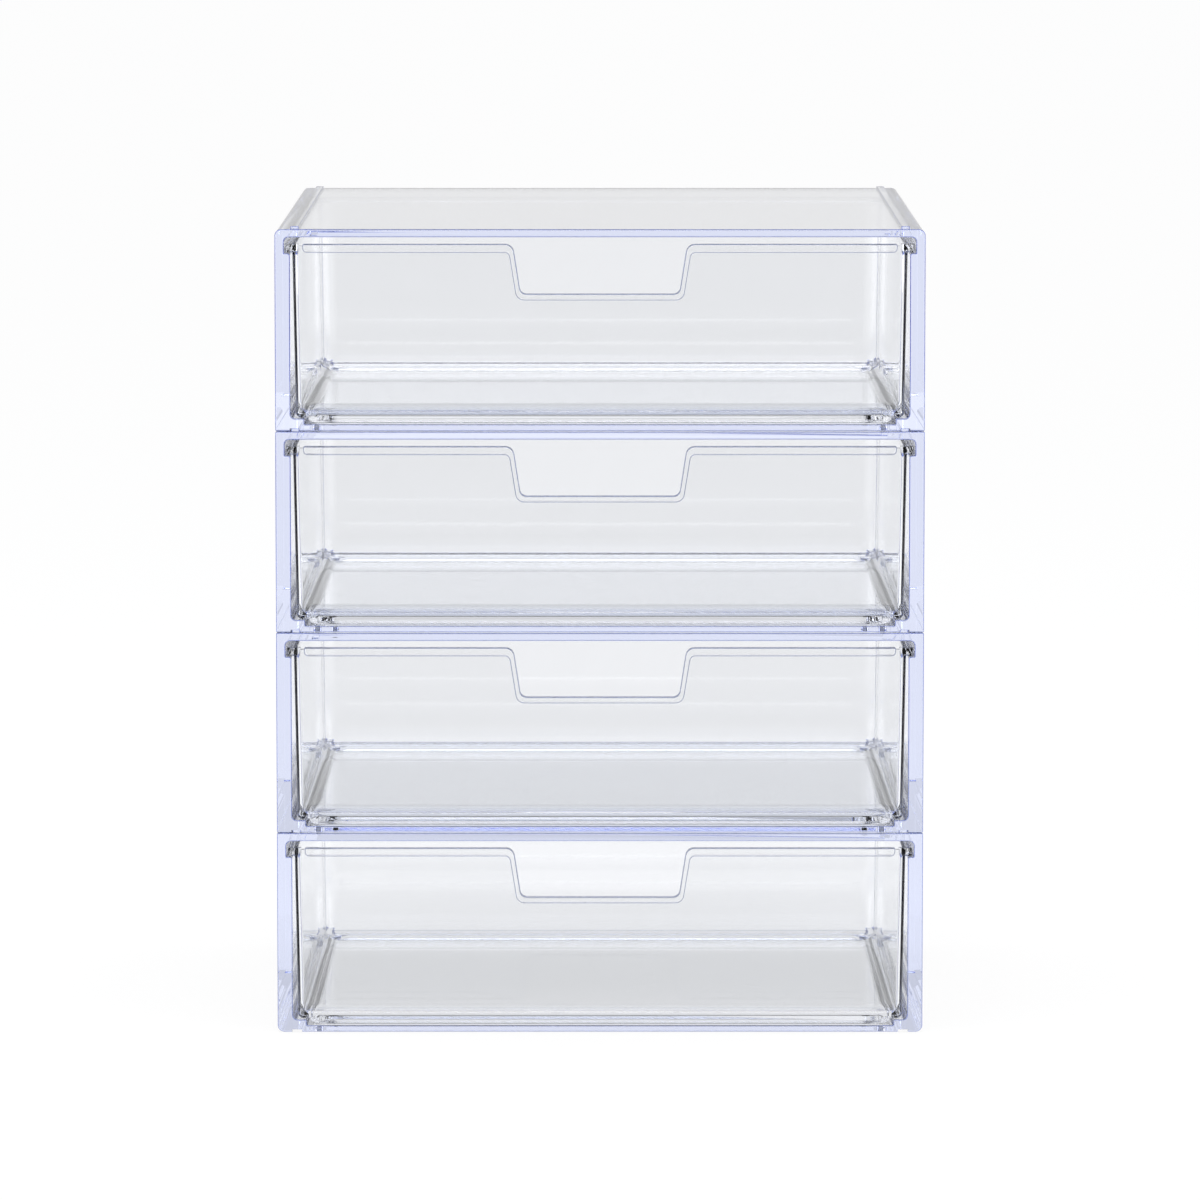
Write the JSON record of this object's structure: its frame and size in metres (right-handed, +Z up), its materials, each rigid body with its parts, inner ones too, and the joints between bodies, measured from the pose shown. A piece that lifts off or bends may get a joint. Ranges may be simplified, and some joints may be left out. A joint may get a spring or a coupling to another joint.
{
  "type": "drawer organizer",
  "caption": "Clear plastic drawer tower of stacked open-front casings, each with a full-width sliding drawer that has a tapered finger notch in its beaded rim.",
  "frame": {"origin": "on the floor, under the middle of the tower's bounding box", "axes": "+Z up; the drawers face -Y, so +Y runs to the closed back; +X is to the right of a person facing the drawers"},
  "size_m": [0.311, 0.272, 0.3896],
  "materials": {
    "casing_plastic": "clear, polished, faint lilac in the thick edges",
    "drawer_plastic": "clear, polished",
    "foot_silicone": "clear silicone, satin"
  },
  "bodies": {
    "module_1": {"casing_1": "casing_plastic", "foot_1_front_left": "foot_silicone", "foot_1_front_right": "foot_silicone", "foot_1_rear_left": "foot_silicone", "foot_1_rear_right": "foot_silicone"},
    "tray_1": {"drawer_1": "drawer_plastic"},
    "module_2": {"casing_2": "casing_plastic", "foot_2_front_left": "foot_silicone", "foot_2_front_right": "foot_silicone", "foot_2_rear_left": "foot_silicone", "foot_2_rear_right": "foot_silicone"},
    "tray_2": {"drawer_2": "drawer_plastic"},
    "module_3": {"casing_3": "casing_plastic", "foot_3_front_left": "foot_silicone", "foot_3_front_right": "foot_silicone", "foot_3_rear_left": "foot_silicone", "foot_3_rear_right": "foot_silicone"},
    "tray_3": {"drawer_3": "drawer_plastic"},
    "module_4": {"casing_4": "casing_plastic", "foot_4_front_left": "foot_silicone", "foot_4_front_right": "foot_silicone", "foot_4_rear_left": "foot_silicone", "foot_4_rear_right": "foot_silicone"},
    "tray_4": {"drawer_4": "drawer_plastic"}
  },
  "joints": [
    {"name": "drawer_1_slide", "type": "slide", "parent": "module_1", "child": "tray_1", "axis": [0, -1, 0], "range_m": [0, 0.2]},
    {"name": "module_2_lift", "type": "slide", "parent": "module_1", "child": "module_2", "axis": [0, 0, 1], "range_m": [0, 0.06]},
    {"name": "drawer_2_slide", "type": "slide", "parent": "module_2", "child": "tray_2", "axis": [0, -1, 0], "range_m": [0, 0.2]},
    {"name": "module_3_lift", "type": "slide", "parent": "module_2", "child": "module_3", "axis": [0, 0, 1], "range_m": [0, 0.06]},
    {"name": "drawer_3_slide", "type": "slide", "parent": "module_3", "child": "tray_3", "axis": [0, -1, 0], "range_m": [0, 0.2]},
    {"name": "module_4_lift", "type": "slide", "parent": "module_3", "child": "module_4", "axis": [0, 0, 1], "range_m": [0, 0.06]},
    {"name": "drawer_4_slide", "type": "slide", "parent": "module_4", "child": "tray_4", "axis": [0, -1, 0], "range_m": [0, 0.2]}
  ]
}
